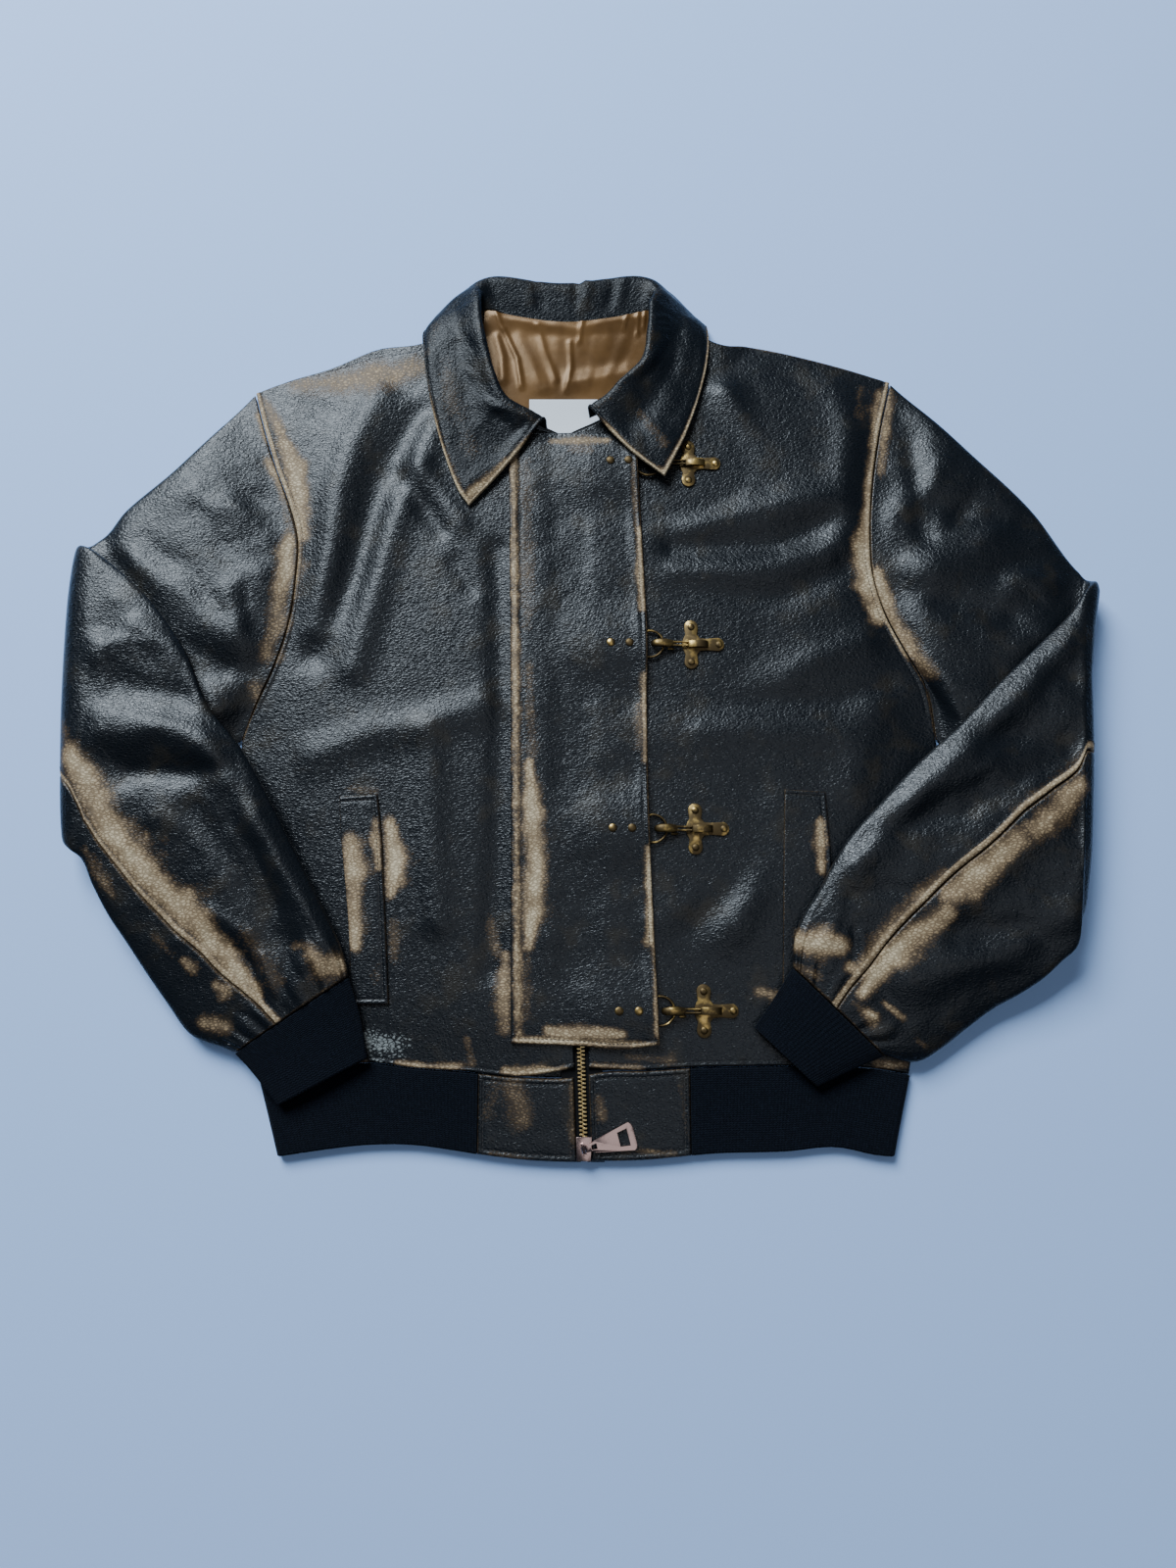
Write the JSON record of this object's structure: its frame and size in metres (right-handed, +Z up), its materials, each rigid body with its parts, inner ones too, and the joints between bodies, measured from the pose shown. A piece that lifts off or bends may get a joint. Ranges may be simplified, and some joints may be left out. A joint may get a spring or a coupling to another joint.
{
  "type": "leather jacket laid flat",
  "caption": "Worn black leather blouson laid flat on its back, closed by a flap with hook clasps over a zip, sleeves folded over at the elbow.",
  "frame": {"origin": "on the surface that the jacket lies on, under the middle of its outline", "axes": "+X to the wearer's left, +Y from the hem towards the collar, +Z up out of the surface"},
  "size_m": [0.8546, 0.7526, 0.041],
  "materials": {
    "leather": "pebbled black leather, rubbed to tan at seams and edges",
    "rib_knit": "near-black wool rib knit",
    "satin": "golden brown satin",
    "label": "bare white woven label",
    "zip_tape": "black woven tape",
    "zip_brass": "pale brass teeth",
    "old_brass": "old brass with dark patina",
    "polished_metal": "polished, faintly rosy metal"
  },
  "bodies": {
    "jacket": {"back": "leather", "front_right": "leather", "front_left": "leather", "placket": "leather", "collar": "leather", "top_sleeve_right": "leather", "top_sleeve_left": "leather", "under_sleeve_right": "leather", "under_sleeve_left": "leather", "cuff_right": "rib_knit", "cuff_left": "rib_knit", "waist_rib": "rib_knit", "band_tab_right": "leather", "band_tab_left": "leather", "pocket_welt_right": "leather", "pocket_welt_left": "leather", "neck_lining": "satin", "label": "label", "zip_tape_right": "zip_tape", "zip_tape_left": "zip_tape", "zip_chain": "zip_brass", "zip_slider": "polished_metal", "clasp_1_plate": "old_brass", "clasp_1_hook": "old_brass", "clasp_1_ring": "old_brass", "clasp_1_strap": "leather", "clasp_1_rivet_a": "old_brass", "clasp_1_rivet_b": "old_brass", "clasp_1_rivet_c": "old_brass", "flap_1_rivet_a": "old_brass", "flap_1_rivet_b": "old_brass", "clasp_2_plate": "old_brass", "clasp_2_hook": "old_brass", "clasp_2_ring": "old_brass", "clasp_2_strap": "leather", "clasp_2_rivet_a": "old_brass", "clasp_2_rivet_b": "old_brass", "clasp_2_rivet_c": "old_brass", "flap_2_rivet_a": "old_brass", "flap_2_rivet_b": "old_brass", "clasp_3_plate": "old_brass", "clasp_3_hook": "old_brass", "clasp_3_ring": "old_brass", "clasp_3_strap": "leather", "clasp_3_rivet_a": "old_brass", "clasp_3_rivet_b": "old_brass", "clasp_3_rivet_c": "old_brass", "flap_3_rivet_a": "old_brass", "flap_3_rivet_b": "old_brass", "clasp_4_plate": "old_brass", "clasp_4_hook": "old_brass", "clasp_4_ring": "old_brass", "clasp_4_strap": "leather", "clasp_4_rivet_a": "old_brass", "clasp_4_rivet_b": "old_brass", "clasp_4_rivet_c": "old_brass", "flap_4_rivet_a": "old_brass", "flap_4_rivet_b": "old_brass"},
    "pull_tab": {"zip_pull": "polished_metal"}
  },
  "joints": [
    {"name": "zip_pull_hinge", "type": "hinge", "parent": "jacket", "child": "pull_tab", "pos_m": [0.00028, -0.3663, 0.0131], "axis": [0.2588, -0.9659, 0], "range_deg": [0, 150]}
  ]
}
